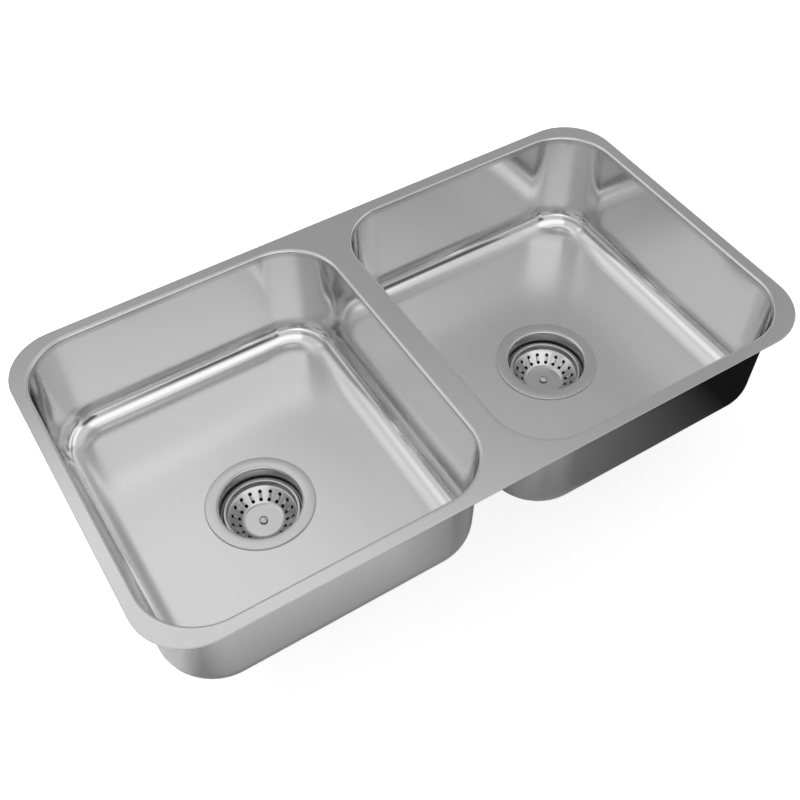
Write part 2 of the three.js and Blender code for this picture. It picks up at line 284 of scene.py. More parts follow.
def filled(work: bmesh.types.BMesh, loops: Iterable[Loop]) -> None:
    """Fills the flat area between closed loops, the first of which goes round the others.

    Args:
        work: The working mesh.
        loops: The vertices of each loop.
    """
    edges = []
    for loop in loops:
        for i, vertex in enumerate(loop):
            edges.append(work.edges.get((vertex, loop[(i + 1) % len(loop)])))
    bmesh.ops.triangle_fill(work, edges=edges, use_beauty=True)


def turned(name: str, section: Section, centre: Vector, steps: int = ROUND_STEPS) -> Object:
    """A piece turned about the upright line through a point.

    Args:
        name: The piece's name.
        section: The closed section, as (radius, height) pairs measured from the point.
        centre: The point.
        steps: How many facets go round.

    Returns:
        The new object.
    """
    work = bmesh.new()
    rings = []
    for radius, height in section:
        angles = (2 * math.pi * i / steps for i in range(steps))
        rings.append([centre + Vector((radius * math.cos(a), radius * math.sin(a), height)) for a in angles])
    strip(work, rings, closed=True)
    return welded(name, work)


def block(name: str, low: Vector, high: Vector) -> Object:
    """A box between two corners.

    Args:
        name: The piece's name.
        low: The corner with the smallest coordinates.
        high: The corner with the largest coordinates.

    Returns:
        The new object.
    """
    work = bmesh.new()
    bmesh.ops.create_cube(work, size=1.0)
    place = Matrix.Translation((low + high) / 2) @ Matrix.Diagonal((*(high - low), 1.0))
    bmesh.ops.transform(work, matrix=place, verts=work.verts)
    return welded(name, work)


def plain(piece: Object) -> Object:
    """Replaces a piece by the plain mesh that its modifiers give.

    Args:
        piece: An object with modifiers, which is removed.

    Returns:
        A new object of the same name without modifiers.
    """
    name = piece.name
    seen = piece.evaluated_get(bpy.context.evaluated_depsgraph_get())
    mesh = bpy.data.meshes.new_from_object(seen)
    bpy.data.objects.remove(piece)
    return placed(name, mesh)


def combined(piece: Object, others: Sequence[Object], how: Join) -> Object:
    """Puts other pieces together with a piece.

    Args:
        piece: The piece that stays.
        others: The pieces that are used up.
        how: Whether they are added, cut away, or leave only what is inside them.

    Returns:
        The result, as a plain piece of the same name.
    """
    for other in others:
        modifier = piece.modifiers.new("join", "BOOLEAN")
        modifier.operation = how.value
        modifier.solver = "EXACT"
        modifier.object = other
    result = plain(piece)
    for other in others:
        bpy.data.objects.remove(other)
    return result


def packed_span(node: str, centre: Vector) -> tuple[float, float, float]:
    """How high and how wide a packed round node is.

    Args:
        node: The node's name.
        centre: The point that heights are measured from.

    Returns:
        The height of its bottom, the height of its top, and its outer radius.
    """
    low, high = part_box(node)
    return low.z - centre.z, high.z - centre.z, (high.x - low.x) / 2


# ---------------------------------------------------------------------------------------------- nodes


class Graph:
    """A node tree under construction."""

    def __init__(self, tree: Tree) -> None:
        """Starts on a tree."""
        self.tree = tree

    def add(self, kind: str, inputs: dict | None = None, **settings: object) -> Node:
        """Adds a node.

        Args:
            kind: The node's type.
            inputs: Socket names or numbers, each with a value or the socket that feeds it.
            **settings: The node's own properties.

        Returns:
            The new node.
        """
        node = self.tree.nodes.new(kind)
        for key, value in settings.items():
            setattr(node, key, value)
        for key, value in (inputs or {}).items():
            if isinstance(value, Socket):
                self.tree.links.new(value, node.inputs[key])
            else:
                node.inputs[key].default_value = value
        return node

    def math(self, operation: str, *values: object) -> Socket:
        """Adds a shader or geometry Math node and returns its output."""
        return self.add("ShaderNodeMath", dict(enumerate(values)), operation=operation).outputs[0]

    def sockets(self, where: str, **kinds: str) -> None:
        """Gives a group its named inputs or outputs.

        Args:
            where: INPUT or OUTPUT.
            **kinds: Socket names, with underscores for spaces, each with its socket type.
        """
        for name, kind in kinds.items():
            self.tree.interface.new_socket(name.replace("_", " "), in_out=where, socket_type=kind)


def blank_graph(owner: bpy.types.Material | bpy.types.World) -> Graph:
    """The emptied node tree of a material or a world."""
    owner.use_nodes = True
    owner.node_tree.nodes.clear()
    return Graph(owner.node_tree)


def made_once(name: str, make: Callable[[], Tree]) -> Tree:
    """The node group of that name, which is made the first time."""
    return bpy.data.node_groups.get(name) or make()


def grown(piece: Object, tree: Tree, **sizes: object) -> Object:
    """Runs a Geometry Nodes tree on a piece and keeps the plain result.

    Args:
        piece: The piece that the tree works on.
        tree: The tree.
        **sizes: The tree's inputs by name, with underscores for spaces.

    Returns:
        The result, as a plain piece of the same name.
    """
    modifier = piece.modifiers.new(tree.name, "NODES")
    modifier.node_group = tree
    for item in tree.interface.items_tree:
        key = item.name.replace(" ", "_")
        if item.in_out == "INPUT" and key in sizes:
            modifier[item.identifier] = sizes[key]
    return plain(piece)


def new_geometry_tree(name: str, **inputs: str) -> tuple[Graph, Node]:
    """Starts a Geometry Nodes tree that takes and gives a geometry.

    Args:
        name: The tree's name.
        **inputs: Its named sizes, with underscores for spaces, each with its socket type.

    Returns:
        The tree's graph and its input node.
    """
    graph = Graph(bpy.data.node_groups.new(name, "GeometryNodeTree"))
    graph.sockets("INPUT", Geometry="NodeSocketGeometry", **inputs)
    graph.sockets("INPUT", Finish="NodeSocketMaterial")
    graph.sockets("OUTPUT", Geometry="NodeSocketGeometry")
    return graph, graph.add("NodeGroupInput")


def close_geometry_tree(graph: Graph, start: Node, geometry: Socket) -> Tree:
    """Ends a Geometry Nodes tree with real geometry in the finish that it is given.

    Args:
        graph: The tree's graph.
        start: The tree's input node.
        geometry: The socket of the finished shape.

    Returns:
        The tree.
    """
    real = graph.add("GeometryNodeRealizeInstances", {0: geometry})
    dressed = graph.add("GeometryNodeSetMaterial", {0: real.outputs[0], "Material": start.outputs["Finish"]})
    graph.add("NodeGroupOutput", {0: dressed.outputs[0]})
    return graph.tree


# ------------------------------------------------------------------------------------------- finishes


def brushed_group() -> Tree:
    """The grain of brushed sheet: fine lines along Y over slow, cloudy changes.

    Returns:
        A shader group that puts out Grain and Cloud, each from 0 to 1.
    """
    graph = Graph(bpy.data.node_groups.new("brushed_grain", "ShaderNodeTree"))
    graph.sockets("INPUT", Vector=VECTOR, Across=FLOAT, Along=FLOAT)
    graph.sockets("INPUT", Cloud_Scale=FLOAT)
    graph.sockets("OUTPUT", Grain=FLOAT, Cloud=FLOAT)
    start = graph.add("NodeGroupInput")
    across, along = start.outputs["Across"], start.outputs["Along"]
    stretch = graph.add("ShaderNodeCombineXYZ", {0: across, 1: along, 2: across})
    drawn = graph.add("ShaderNodeMapping", {"Vector": start.outputs["Vector"], "Scale": stretch.outputs[0]})
    lines = graph.add("ShaderNodeTexNoise", {"Vector": drawn.outputs[0], "Scale": 1.0, "Detail": 3.0})
    slow = {"Vector": start.outputs["Vector"], "Scale": start.outputs["Cloud Scale"], "Detail": 2.0}
    cloud = graph.add("ShaderNodeTexNoise", slow)
    graph.add("NodeGroupOutput", {"Grain": lines.outputs["Fac"], "Cloud": cloud.outputs["Fac"]})
    return graph.tree


def turned_group() -> Tree:
    """The tool marks of a turned or spun face: rings about the upright axis through a centre.

    Returns:
        A shader group that puts out Grain and Cloud, each from 0 to 1.
    """
    graph = Graph(bpy.data.node_groups.new("turned_grain", "ShaderNodeTree"))
    graph.sockets("INPUT", Vector=VECTOR, Centre=VECTOR, Rings=FLOAT)
    graph.sockets("INPUT", Cloud_Scale=FLOAT)
    graph.sockets("OUTPUT", Grain=FLOAT, Cloud=FLOAT)
    start = graph.add("NodeGroupInput")
    centred = {0: start.outputs["Vector"], 1: start.outputs["Centre"]}
    from_axis = graph.add("ShaderNodeVectorMath", centred, operation="SUBTRACT").outputs[0]
    apart = graph.add("ShaderNodeSeparateXYZ", {0: from_axis})
    squares = [graph.math("MULTIPLY", apart.outputs[i], apart.outputs[i]) for i in (0, 1)]
    radius = graph.math("SQRT", graph.math("ADD", *squares))
    run = graph.math("ADD", radius, apart.outputs[2])
    along_section = graph.math("MULTIPLY", run, start.outputs["Rings"])
    lines = {"W": along_section, "Scale": 1.0, "Detail": 2.0}
    rings = graph.add("ShaderNodeTexNoise", lines, noise_dimensions="1D")
    slow = {"Vector": from_axis, "Scale": start.outputs["Cloud Scale"], "Detail": 2.0}
    cloud = graph.add("ShaderNodeTexNoise", slow)
    graph.add("NodeGroupOutput", {"Grain": rings.outputs["Fac"], "Cloud": cloud.outputs["Fac"]})
    return graph.tree


@dataclass(frozen=True)
class Finish:
    """What a surface is made of: an even colour and gloss that a fine grain breaks up."""

    name: str
    slot: str
    colour: Colour
    roughness: float
    metallic: float = 1.0
    tone_spread: float = 0.04
    gloss_spread: float = 0.04
    grain_height: float = 0.000004
    cloud_scale: float = 9.0

    def pattern(self, graph: Graph, place: Socket) -> Node:
        """The node that puts out this finish's Grain and Cloud at a place."""
        raise NotImplementedError

    def shaded(self, graph: Graph, place: Socket, tone: Socket) -> Socket:
        """The colour at a place, which is the same all over unless a finish says otherwise."""
        return tone

    def dulled(self, graph: Graph, place: Socket, gloss: Socket) -> Socket:
        """The roughness at a place, which is the same all over unless a finish says otherwise."""
        return gloss

    def material(self) -> bpy.types.Material:
        """The Blender material of this finish, made once.

        Returns:
            A material with procedural colour, roughness and bump.
        """
        found = bpy.data.materials.get(self.name)
        if found:
            return found
        made = bpy.data.materials.new(self.name)
        graph = blank_graph(made)
        place = graph.add("ShaderNodeTexCoord").outputs["Object"]
        pattern = self.pattern(graph, place)
        grain, cloud = pattern.outputs["Grain"], pattern.outputs["Cloud"]
        mixed = graph.math("MULTIPLY", graph.math("ADD", grain, cloud), 0.5)
        dark, light = (tuple(c * (1 + s * self.tone_spread) for c in self.colour) for s in (-1, 1))
        tone = graph.add("ShaderNodeMix", {0: mixed, 6: (*dark, 1), 7: (*light, 1)}, data_type="RGBA")
        low, high = self.roughness - self.gloss_spread, self.roughness + self.gloss_spread
        gloss = graph.add("ShaderNodeMapRange", {"Value": mixed, "To Min": low, "To Max": high})
        relief = {"Height": grain, "Distance": self.grain_height, "Strength": 1.0}
        bump = graph.add("ShaderNodeBump", relief)
        surface = {
            "Base Color": self.shaded(graph, place, tone.outputs[2]),
            "Metallic": self.metallic,
            "Roughness": self.dulled(graph, place, gloss.outputs[0]),
            "Normal": bump.outputs[0],
        }
        shader = graph.add("ShaderNodeBsdfPrincipled", surface)
        graph.add("ShaderNodeOutputMaterial", {"Surface": shader.outputs[0]})
        return made


@dataclass(frozen=True)
class BrushedFinish(Finish):
    """Sheet with a grain of fine lines along Y."""

    lines_across: float = 900.0
    lines_along: float = 14.0

    def pattern(self, graph: Graph, place: Socket) -> Node:
        """The brushed grain at a place."""
        group = made_once("brushed_grain", brushed_group)
        inputs = {
            "Vector": place,
            "Across": self.lines_across,
            "Along": self.lines_along,
            "Cloud Scale": self.cloud_scale,
        }
        return graph.add("ShaderNodeGroup", inputs, node_tree=group)


@dataclass(frozen=True)
class BowlFinish(BrushedFinish):
    """Brushed sheet that is duller on its level floor than on its drawn walls.

    The floor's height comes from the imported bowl.
    """

    floor: float = 0.0
    extra: float = 0.16
    reach: float = 0.009

    def dulled(self, graph: Graph, place: Socket, gloss: Socket) -> Socket:
        """The roughness at a place, raised towards the floor's height.

        Args:
            graph: The material's graph.
            place: The socket of the place.
            gloss: The socket of the roughness without the floor's share.

        Returns:
            The socket of the roughness.
        """
        height = graph.add("ShaderNodeSeparateXYZ", {0: place}).outputs[2]
        span = {"Value": height, "From Min": self.floor + self.reach, "From Max": self.floor}
        rise = {**span, "To Max": self.extra}
        more = graph.add("ShaderNodeMapRange", rise, interpolation_type="SMOOTHSTEP")
        return graph.math("ADD", gloss, more.outputs[0])


@dataclass(frozen=True)
class TurnedFinish(Finish):
    """A face with tool marks in rings about an upright axis.

    With a depth_shade under 1, the colour itself darkens from the centre's height down to a depth below it.
    That is painted shade for the dark down in a throat, and it stays the same in any light.
    """

    centre: Place = (0.0, 0.0, 0.0)
    rings: float = 2200.0
    depth_shade: float = 1.0
    depth: float = 0.010

    def pattern(self, graph: Graph, place: Socket) -> Node:
        """The turned grain at a place."""
        group = made_once("turned_grain", turned_group)
        inputs = {
            "Vector": place,
            "Centre": self.centre,
            "Rings": self.rings,
            "Cloud Scale": self.cloud_scale,
        }
        return graph.add("ShaderNodeGroup", inputs, node_tree=group)

    def shaded(self, graph: Graph, place: Socket, tone: Socket) -> Socket:
        """The colour at a place, with the painted shade.

        Args:
            graph: The material's graph.
            place: The socket of the place.
            tone: The socket of the colour without the shade.

        Returns:
            The socket of the colour.
        """
        height = graph.add("ShaderNodeSeparateXYZ", {0: place}).outputs[2]
        span = {"Value": height, "From Min": self.centre[2], "From Max": self.centre[2] - self.depth}
        fall = {**span, "To Min": 1.0, "To Max": self.depth_shade}
        shade = graph.add("ShaderNodeMapRange", fall).outputs[0]
        return graph.add("ShaderNodeVectorMath", {0: tone, 1: shade}, operation="MULTIPLY").outputs[0]


@dataclass(frozen=True)
class GrainedFinish(Finish):
    """Rubber, fibre or moulded plastic with an even fine grain."""

    metallic: float = 0.0
    lines: float = 1500.0

    def pattern(self, graph: Graph, place: Socket) -> Node:
        """The same grain along as across."""
        group = made_once("brushed_grain", brushed_group)
        inputs = {"Vector": place, "Across": self.lines, "Along": self.lines, "Cloud Scale": self.cloud_scale}
        return graph.add("ShaderNodeGroup", inputs, node_tree=group)


def dress(piece: Object, finish: Finish, body: str, *nodes: str) -> None:
    """Finishes a piece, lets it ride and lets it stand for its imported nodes.

    Args:
        piece: The piece, in place.
        finish: Its finish.
        body: The body that it moves with.
        *nodes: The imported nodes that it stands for.
    """
    piece.data.materials.clear()
    piece.data.materials.append(finish.material())
    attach(piece, body)
    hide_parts(*nodes)
    LOG.info("%s: %d faces on %s", piece.name, len(piece.data.polygons), body)


# ---------------------------------------------------------------------------------------- sheet parts


def rounded_ring(centre_x: float, half_x: float, half_y: float, radius: float, z: float) -> Ring:
    """A level rectangle with round corners.

    Args:
        centre_x: Where its middle lies along X.
        half_x: Half of its length along X.
        half_y: Half of its width along Y.
        radius: The corner radius.
        z: Its height.

    Returns:
        Its points, anticlockwise, the same number for every radius.
    """
    ring: Ring = []
    for side_x, side_y, start in ((1, 1, 0), (-1, 1, 90), (-1, -1, 180), (1, -1, 270)):
        centre = (centre_x + side_x * (half_x - radius), side_y * (half_y - radius))
        ring += [Vector((x, y, z)) for x, y in arc(centre, radius, start, start + 90, CORNER_STEPS)]
    return ring


@dataclass(frozen=True)
class Opening:
    """One bowl's opening in the rim and the sheet section that goes down from it."""

    centre_x: float
    half_x: float
    half_y: float
    depth: float
    corner_radius: float = 0.060
    sheet: float = 0.001
    bead: float = 0.003
    lip_depth: float = 0.008
    draft: float = 0.003
    fillet_reach: float = 0.030
    fillet_height: float = 0.030
    smallest_corner: float = 0.001

    @classmethod
    def on(cls, side: Side) -> "Opening":
        """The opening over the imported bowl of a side.

        Args:
            side: The side.

        Returns:
            The opening, with its middle, its size and its depth from the bowl's box.
        """
        low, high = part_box(side.node("bowl"))
        half = (high - low) / 2
        return cls((low.x + high.x) / 2, half.x - cls.sheet, half.y - cls.sheet, -low.z - cls.sheet)

    @property
    def slope(self) -> float:
        """How far the wall leans in for each metre down."""
        return self.draft / (self.depth - self.fillet_height - self.bead)

    def lean(self, z: float) -> float:
        """The wall's inset at a height above its fillet, as a negative offset."""
        return (z + self.bead) * self.slope

    def ring(self, offset: float, z: float) -> Ring:
        """The outline at a height, standing off the opening's edge by an offset, positive outwards."""
        radius = max(self.corner_radius + offset, self.smallest_corner)
        return rounded_ring(self.centre_x, self.half_x + offset, self.half_y + offset, radius, z)

    def wall(self) -> Section:
        """The bowl's inner face.

        Returns:
            (offset, z) pairs from the lip down to the edge of the flat floor.
        """
        fillet_top = self.fillet_height - self.depth
        points = [(self.lean(z), z) for z in (-self.lip_depth, fillet_top / 2, fillet_top + self.lip_depth)]
        start = (-self.draft, fillet_top)
        drop = CIRCLE_SHARE * self.fillet_height
        leaving = (start[0] - drop * self.slope, start[1] - drop)
        end = (-self.draft - self.fillet_reach, -self.depth)
        arriving = (end[0] + CIRCLE_SHARE * self.fillet_reach, end[1])
        return points + bezier(start, leaving, arriving, end, FILLET_STEPS)


@dataclass(frozen=True)
class RimDeck:
    """The flat rim, its divider and the rolled lip round each opening."""

    openings: tuple[Opening, ...]
    finish: Finish
    corner_radius: float = 0.058
    edge_round: float = 0.0003
    flat_margin: float = 0.0015

    def outline(self, offset: float, z: float) -> Ring:
        """The outside of the rim at a height, standing in by an offset."""
        _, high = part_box("rim_deck")
        return rounded_ring(0.0, high.x - offset, high.y - offset, self.corner_radius - offset, z)

    def edge(self) -> Section:
        """The cut edge of the sheet.

        Returns:
            (inset, z) pairs from its top face to its underside.
        """
        sheet, soft = self.openings[0].sheet, self.edge_round
        upper = [(soft - dx, dz - soft) for dx, dz in arc((0, 0), soft, 90, 0, EDGE_STEPS)]
        lower = [(soft - dx, dz + soft - sheet) for dx, dz in arc((0, 0), soft, 0, -90, EDGE_STEPS)]
        return [(self.flat_margin, 0.0), *upper, *lower, (self.flat_margin, -sheet)]

    def lip(self, opening: Opening) -> Section:
        """The rolled lip of an opening.

        Args:
            opening: The opening.

        Returns:
            (offset, z) pairs from the top face round to the underside.
        """
        bead, sheet = opening.bead, opening.sheet
        lean = math.degrees(math.atan(opening.slope))
        foot = opening.lean(-opening.lip_depth)
        inner = arc((bead, -bead), bead, 90, 180 + lean)
        outer = arc((bead, -bead), bead - sheet, 180 + lean, 90)
        ends = [(foot, -opening.lip_depth), (foot + sheet, -opening.lip_depth)]
        margin = bead + self.flat_margin
        return [(margin, 0.0), *inner, *ends, *outer, (margin, -sheet)]

    def build(self) -> None:
        """Makes the rim."""
        work = bmesh.new()
        sides = [strip(work, [self.outline(inset, z) for inset, z in self.edge()])]
        for opening in self.openings:
            sides.append(strip(work, [opening.ring(offset, z) for offset, z in self.lip(opening)]))
        filled(work, [loops[0] for loops in sides])
        filled(work, [loops[-1] for loops in sides])
        dress(welded("rim", work), self.finish, "sink", "rim_deck")


@dataclass(frozen=True)
class Bowl:
    """One drawn bowl with its drain hole."""

    side: Side
    opening: Opening
    drain: Vector
    finish: Finish
    drain_radius: float = 0.0445
    floor_margin: float = 0.001

    def drain_ring(self, z: float) -> Ring:
        """The drain hole's edge.

        Args:
            z: Its height.

        Returns:
            Its points, as many as an opening's.
        """
        radius = self.drain_radius
        forward = Vector((0, self.drain.y, 0))
        return [point + forward for point in rounded_ring(self.drain.x, radius, radius, radius, z)]

    def build(self) -> None:
        """Makes the bowl."""
        opening, sheet = self.opening, self.opening.sheet
        inner = opening.wall()
        outer = thickened(inner, sheet)
        outer[0] = (inner[0][0] + sheet, inner[0][1])
        floor_edge = inner[-1][0] - self.floor_margin
        rings = [opening.ring(*point) for point in inner]
        rings += [opening.ring(floor_edge, -opening.depth), self.drain_ring(-opening.depth)]
        rings += [self.drain_ring(-opening.depth - sheet), opening.ring(floor_edge, -opening.depth - sheet)]
        rings += [opening.ring(*point) for point in reversed(outer)]
        work = bmesh.new()
        strip(work, rings, closed=True)
        dress(welded(self.side.node("basin"), work), self.finish, "sink", self.side.node("bowl"))


# --------------------------------------------------------------------------------- strainer and clamp


def points_round(
    graph: Graph, take: bpy.types.NodeOutputs, radius: Socket, share: float
) -> tuple[Socket, Socket]:
    """Adds evenly spread points round the upright axis through a tree's Centre.

    Args:
        graph: The tree's graph.
        take: The outputs of the tree's input node, with Count, Centre and Turn.
        radius: How far the points lie from the axis.
        share: How far the first point is from Turn, as a share of a step.

    Returns:
        The points' socket and the socket of each point's bearing.
    """
    step = graph.math("DIVIDE", math.tau, take["Count"])
    number = graph.math("ADD", graph.add("GeometryNodeInputIndex").outputs[0], share)
    bearing = graph.math("ADD", graph.math("MULTIPLY", number, step), take["Turn"])
    across = graph.math("MULTIPLY", graph.math("COSINE", bearing), radius)
    along = graph.math("MULTIPLY", graph.math("SINE", bearing), radius)
    from_axis = graph.add("ShaderNodeCombineXYZ", {0: across, 1: along}).outputs[0]
    place = graph.add("ShaderNodeVectorMath", {0: from_axis, 1: take["Centre"]}, operation="ADD").outputs[0]
    return graph.add("GeometryNodePoints", {"Count": take["Count"], "Position": place}).outputs[0], bearing


def lugs_tree() -> Tree:
    """Joins lugs to a nut: blocks of one size, evenly round its axis.

    Returns:
        The Geometry Nodes tree.
    """
    graph, start = new_geometry_tree(
        "lugs",
        Count="NodeSocketInt",
        Turn=FLOAT,
        Centre=VECTOR,
        Radius=FLOAT,
        Lug_Size=VECTOR,
    )
    take = start.outputs
    points, bearing = points_round(graph, take, take["Radius"], 0.5)
    heading = graph.add("ShaderNodeCombineXYZ", {2: bearing}).outputs[0]
    turn = graph.add("FunctionNodeEulerToRotation", {0: heading}).outputs[0]
    lug = graph.add("GeometryNodeMeshCube", {"Size": take["Lug Size"]}).outputs[0]
    spread = {"Points": points, "Instance": lug, "Rotation": turn}
    copies = graph.add("GeometryNodeInstanceOnPoints", spread)
    real = graph.add("GeometryNodeRealizeInstances", {0: copies.outputs[0]}).outputs[0]
    whole = graph.add("GeometryNodeMeshBoolean", {1: take["Geometry"]}, operation="UNION", solver="EXACT")
    graph.tree.links.new(real, whole.inputs[1])
    return close_geometry_tree(graph, start, whole.outputs[0])


def thread_tree() -> Tree:
    """Presses an outside thread into a turned wall: a ridge that climbs one pitch for each turn.

    Returns:
        The Geometry Nodes tree.
    """
    graph, start = new_geometry_tree(
        "thread",
        Centre=VECTOR,
        Root_Radius=FLOAT,
        Depth=FLOAT,
        Pitch=FLOAT,
        Bottom=FLOAT,
        Top=FLOAT,
    )
    take = start.outputs
    here = graph.add("GeometryNodeInputPosition").outputs[0]
    centred = {0: here, 1: take["Centre"]}
    from_centre = graph.add("ShaderNodeVectorMath", centred, operation="SUBTRACT").outputs[0]
    apart = graph.add("ShaderNodeSeparateXYZ", {0: from_centre}).outputs
    flat = graph.add("ShaderNodeCombineXYZ", {0: apart[0], 1: apart[1]}).outputs[0]
    radius = graph.add("ShaderNodeVectorMath", {0: flat}, operation="LENGTH").outputs["Value"]
    outward = graph.add("ShaderNodeVectorMath", {0: flat}, operation="NORMALIZE").outputs[0]
    turns = graph.math("DIVIDE", graph.math("ARCTAN2", apart[1], apart[0]), math.tau)
    climb = graph.math("SUBTRACT", graph.math("DIVIDE", apart[2], take["Pitch"]), turns)
    ridge = graph.math("MULTIPLY", graph.math("PINGPONG", climb, 0.5), 2.0)
    run_in = [
        graph.math("DIVIDE", graph.math("SUBTRACT", apart[2], take["Bottom"]), take["Pitch"]),
        graph.math("DIVIDE", graph.math("SUBTRACT", take["Top"], apart[2]), take["Pitch"]),
    ]
    fade = graph.math("MINIMUM", *(graph.add("ShaderNodeClamp", {0: end}).outputs[0] for end in run_in))
    push = graph.math("MULTIPLY", graph.math("MULTIPLY", ridge, fade), take["Depth"])
    on_wall = graph.math("COMPARE", radius, take["Root Radius"], WALL_TOLERANCE)
    shift = graph.add("ShaderNodeVectorMath", {0: outward, "Scale": push}, operation="SCALE").outputs[0]
    pressed = {0: take["Geometry"], "Selection": on_wall, "Offset": shift}
    cut = graph.add("GeometryNodeSetPosition", pressed)
    return close_geometry_tree(graph, start, cut.outputs[0])


def perforations_tree() -> Tree:
    """Cuts one ring of round holes square through a basket's cone.

    Returns:
        The Geometry Nodes tree.
    """
    graph, start = new_geometry_tree(
        "perforations",
        Count="NodeSocketInt",
        Turn=FLOAT,
        Centre=VECTOR,
        Ring_Radius=FLOAT,
        Hole_Radius=FLOAT,
        Punch_Length=FLOAT,
        Slope=FLOAT,
    )
    take = start.outputs
    points, bearing = points_round(graph, take, take["Ring Radius"], 0.0)
    tilt = graph.math("MULTIPLY", take["Slope"], -1.0)
    heading = graph.add("ShaderNodeCombineXYZ", {1: tilt, 2: bearing}).outputs[0]
    turn = graph.add("FunctionNodeEulerToRotation", {0: heading}).outputs[0]
    sizes = {"Vertices": PUNCH_SIDES, "Radius": take["Hole Radius"], "Depth": take["Punch Length"]}
    punch = graph.add("GeometryNodeMeshCylinder", sizes).outputs[0]
    spread = {"Points": points, "Instance": punch, "Rotation": turn}
    copies = graph.add("GeometryNodeInstanceOnPoints", spread)
    real = graph.add("GeometryNodeRealizeInstances", {0: copies.outputs[0]}).outputs[0]
    meshes = {0: take["Geometry"], 1: real}
    cut = graph.add("GeometryNodeMeshBoolean", meshes, operation="DIFFERENCE", solver="EXACT")
    return close_geometry_tree(graph, start, cut.outputs[0])


@dataclass(frozen=True)
class Strainer:
    """The fixed half of a strainer: its body, its outlet and what clamps it in the drain hole.

    Heights are measured from the top of the bowl's floor, in the middle of the drain hole. The ledge in the
    throat is in the scene alone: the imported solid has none.
    """

    side: Side
    centre: Vector
    steel: Finish
    outlet: Finish
    rubber: Finish
    fibre: Finish
    plastic: Finish
    sheet: float = 0.001
    flange_radius: float = 0.057
    flange_top: float = 0.0017
    seal_thickness: float = 0.0007
    throat_radius: float = 0.0425
    throat_lip: float = 0.003
    throat_bottom: float = -0.022
    ledge_top: float = -0.0162
    ledge_radius: float = 0.0408
    cup_floor: float = -0.048
    cup_floor_radius: float = 0.031
    bore_radius: float = 0.0205
    root_radius: float = 0.0225
    thread_depth: float = 0.001
    thread_pitch: float = 0.003
    thread_length: float = 0.020
    outlet_end: float = -0.079
    guide_top: float = -0.0585
    guide_height: float = 0.004
    guide_arm: float = 0.003
    hub_radius: float = 0.006
    stem_bore: float = 0.0033
    seat_height: float = 0.0015
    seat_width: float = 0.0055
    collar_height: float = 0.002
    collar_width: float = 0.0035
    nut_wall: float = 0.0067
    nut_shelf: float = 0.003
    lug_count: int = 8
    lug_width: float = 0.007
    lug_overlap: float = 0.0005
    lug_root: float = 0.001
    gap: float = 0.0003
    ridge_steps: int = 8

    def build(self) -> None:
        """Makes every fixed piece of the strainer."""
        self.build_body()
        self.build_outlet()
        self.build_clamp()

    def build_body(self) -> None:
        """Makes the drawn cup with its flange."""
        body = self.throat_radius + self.sheet
        under = self.cup_floor - self.sheet
        edge = self.flange_radius - self.sheet
        neck_hole = self.root_radius + self.thread_depth + self.gap
        half = self.sheet / 2
        corners = [
            (neck_hole, under, 0),
            (self.cup_floor_radius + half, under, 0.0025),
            (body, self.throat_bottom - half, 0.004),
            (body, self.seal_thickness, self.throat_lip - self.sheet),
            (edge, self.seal_thickness, self.gap / 2),
            (edge, self.gap, 0),
            (self.flange_radius, self.gap, 0),
            (self.flange_radius, self.flange_top, 0.0012),
            (self.throat_radius, self.flange_top, self.throat_lip),
            (self.throat_radius, self.ledge_top, 0.0008),
            (self.ledge_radius, self.ledge_top, 0.0004),
            (self.ledge_radius, self.throat_bottom, 0.003),
            (self.cup_floor_radius, self.cup_floor, 0.003),
            (neck_hole, self.cup_floor, 0),
        ]
        piece = turned(self.side.node("strainer_cup"), rounded(corners, FLANGE_STEPS), self.centre)
        dress(piece, self.steel, "sink", self.side.node("strainer_body"))

    def build_outlet(self) -> None:
        """Makes the threaded outlet with the cross that guides the stem."""
        seat = self.cup_floor + self.seat_height
        crest = self.root_radius + self.thread_depth
        collar = self.cup_floor - self.sheet
        corners = [
            (self.bore_radius, self.outlet_end, 0.0003),
            (self.root_radius, self.outlet_end, 0.0006),
            (self.root_radius, collar - self.collar_height, 0),
            (crest + self.collar_width, collar - self.collar_height, 0.0003),
            (crest + self.collar_width, collar, 0.0003),
            (crest, collar, 0),
            (crest, self.cup_floor, 0),
            (crest + self.seat_width, self.cup_floor, 0),
            (crest + self.seat_width, seat, 0.0005),
            (self.bore_radius, seat, 0.0006),
        ]
        section = divided(rounded(corners), self.thread_pitch / self.ridge_steps)
        wall = turned(self.side.node("outlet"), section, self.centre)
        thread = grown(
            wall,
            made_once("thread", thread_tree),
            Centre=self.centre,
            Root_Radius=self.root_radius,
            Depth=self.thread_depth,
            Pitch=self.thread_pitch,
            Bottom=self.outlet_end,
            Top=self.outlet_end + self.thread_length,
            Finish=self.outlet.material(),
        )
        reach = self.bore_radius + self.gap
        bottom = self.guide_top - self.guide_height
        arms = []
        for half_x, half_y in ((reach, self.guide_arm / 2), (self.guide_arm / 2, reach)):
            low = self.centre + Vector((-half_x, -half_y, bottom))
            high = self.centre + Vector((half_x, half_y, self.guide_top))
            arms.append(block("arm", low, high))
        hub = [
            (0, bottom, 0),
            (self.hub_radius, bottom, self.gap),
            (self.hub_radius, self.guide_top, self.gap),
            (0, self.guide_top, 0),
        ]
        arms.append(turned("hub", rounded(hub), self.centre, HUB_STEPS))
        whole = combined(thread, arms, Join.UNITE)
        bore = [(0, bottom - self.gap), (self.stem_bore, bottom - self.gap)]
        bore += [(self.stem_bore, self.guide_top + self.gap), (0, self.guide_top + self.gap)]
        bored = combined(whole, [turned("bore", bore, self.centre, HUB_STEPS)], Join.CUT)
        dress(bored, self.outlet, "sink", self.side.node("outlet_neck"))

